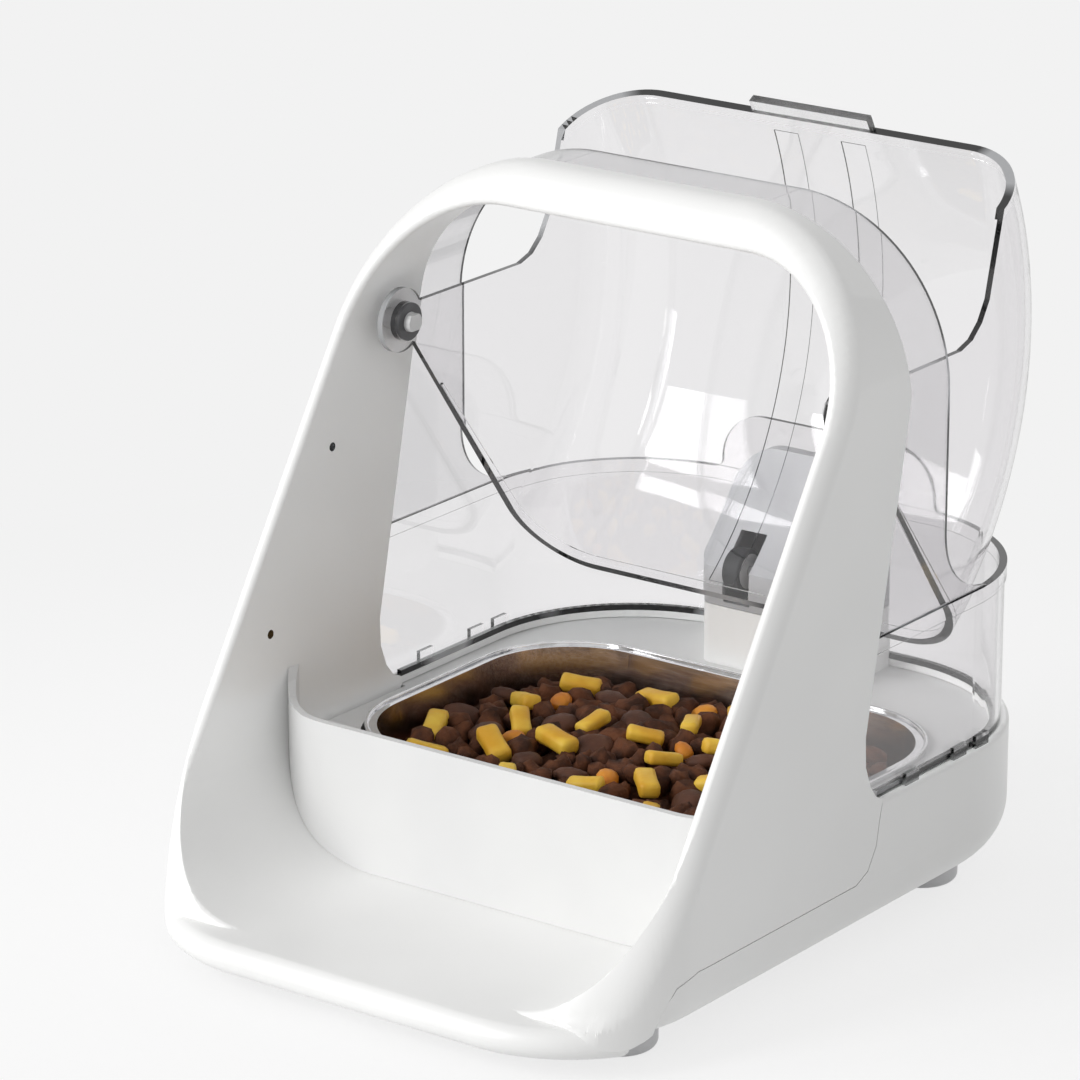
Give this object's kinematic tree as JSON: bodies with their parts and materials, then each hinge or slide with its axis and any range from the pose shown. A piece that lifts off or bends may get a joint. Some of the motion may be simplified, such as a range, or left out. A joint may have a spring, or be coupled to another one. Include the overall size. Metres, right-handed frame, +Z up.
{
  "type": "microchip pet feeder",
  "caption": "Arched pet feeder with a lift-out steel bowl under a clear lid that swings shut on side pins.",
  "frame": {"origin": "centre of the feeder's outline on the floor", "axes": "+X to the right as seen from the open front, +Y from the front to the rear, +Z up"},
  "size_m": [0.24, 0.326, 0.2948],
  "materials": {
    "white_shell": "gloss moulded ABS",
    "deck_grey": "satin moulded ABS",
    "clear_plastic": "clear polished polycarbonate",
    "steel": "brushed stainless sheet",
    "pin_grey": "moulded acetal",
    "bush_dark": "moulded nylon",
    "column_grey": "satin moulded ABS",
    "tyre_rubber": "moulded rubber",
    "drive_metal": "turned steel",
    "gear_plastic": "moulded acetal",
    "motor_metal": "drawn steel can",
    "board_green": "fibreglass board",
    "copper": "enamelled copper winding",
    "sensor_black": "dark infrared window",
    "foot_rubber": "pale moulded rubber",
    "cell_skin": "battery sleeve",
    "contact_metal": "plated spring steel",
    "socket_black": "moulded socket",
    "button_white": "moulded button",
    "tab_white": "milky moulded tab"
  },
  "bodies": {
    "housing": {"base_shell": "white_shell", "arch_shell": "white_shell", "deck_tray": "deck_grey", "rear_enclosure": "clear_plastic", "hood_collar": "clear_plastic", "pivot_pin_left": "pin_grey", "pivot_pin_right": "pin_grey", "column_base": "white_shell", "column_head": "column_grey", "axle_bearing_left": "bush_dark", "axle_bearing_right": "bush_dark", "idler_pin": "drive_metal", "gear_motor": "motor_metal", "drive_bracket": "motor_metal", "foot_front_left": "foot_rubber", "foot_front_right": "foot_rubber", "foot_rear_left": "foot_rubber", "foot_rear_right": "foot_rubber", "base_screws": "drive_metal", "reader_coil": "copper", "infrared_sensor_left_upper": "sensor_black", "infrared_sensor_left_lower": "sensor_black", "infrared_sensor_right_upper": "sensor_black", "infrared_sensor_right_lower": "sensor_black", "battery_box": "pin_grey", "battery_cell_1": "cell_skin", "battery_cell_2": "cell_skin", "battery_cell_3": "cell_skin", "battery_cell_4": "cell_skin", "battery_contacts_left": "contact_metal", "battery_contacts_right": "contact_metal", "main_board": "board_green", "button_board": "board_green", "power_socket": "socket_black"},
    "lid": {"lid": "clear_plastic", "lid_tab": "tab_white", "pivot_bush_left": "bush_dark", "pivot_bush_right": "bush_dark"},
    "bowl": {"bowl": "steel"},
    "drive_axle": {"roller_axle": "drive_metal", "roller_left": "gear_plastic", "roller_right": "gear_plastic", "tyre_left": "tyre_rubber", "tyre_right": "tyre_rubber", "axle_gear": "gear_plastic"},
    "idler_gear": {"idler_gear": "gear_plastic"},
    "motor_pinion": {"motor_pinion": "gear_plastic", "motor_shaft": "drive_metal"},
    "battery_hatch": {"battery_hatch": "white_shell"},
    "pairing_button": {"pairing_button": "button_white"},
    "training_button": {"training_button": "button_white"}
  },
  "joints": [
    {"name": "lid_swing", "type": "hinge", "parent": "housing", "child": "lid", "pos_m": [0, 0.008, 0.219], "axis": [1, 0, 0], "range_deg": [-68, 0]},
    {"name": "axle_spin", "type": "hinge", "parent": "housing", "child": "drive_axle", "pos_m": [0, 0.11838, 0.10269], "axis": [1, 0, 0], "range_deg": [-10, 1160]},
    {"name": "idler_spin", "type": "hinge", "parent": "housing", "child": "idler_gear", "pos_m": [0.0101, 0.13099, 0.09284], "axis": [1, 0, 0], "range_deg": [-905, 10]},
    {"name": "pinion_spin", "type": "hinge", "parent": "housing", "child": "motor_pinion", "pos_m": [0.0101, 0.13293, 0.07897], "axis": [1, 0, 0], "range_deg": [-20, 1625]},
    {"name": "bowl_lift", "type": "slide", "parent": "housing", "child": "bowl", "axis": [0, -0.3134, 0.9496], "range_m": [0, 0.06]},
    {"name": "hatch_drop", "type": "slide", "parent": "housing", "child": "battery_hatch", "axis": [0, 0, -1], "range_m": [0, 0.0105]},
    {"name": "pairing_press", "type": "slide", "parent": "housing", "child": "pairing_button", "axis": [0, -1, 0], "range_m": [0, 0.0012], "stiffness_N_per_m": 400},
    {"name": "training_press", "type": "slide", "parent": "housing", "child": "training_button", "axis": [0, -1, 0], "range_m": [0, 0.0012], "stiffness_N_per_m": 400}
  ],
  "couplings": [
    {"joint": "axle_spin", "follows": "lid_swing", "ratio": -16.811},
    {"joint": "idler_spin", "follows": "lid_swing", "ratio": 13.075},
    {"joint": "pinion_spin", "follows": "lid_swing", "ratio": -23.536}
  ]
}
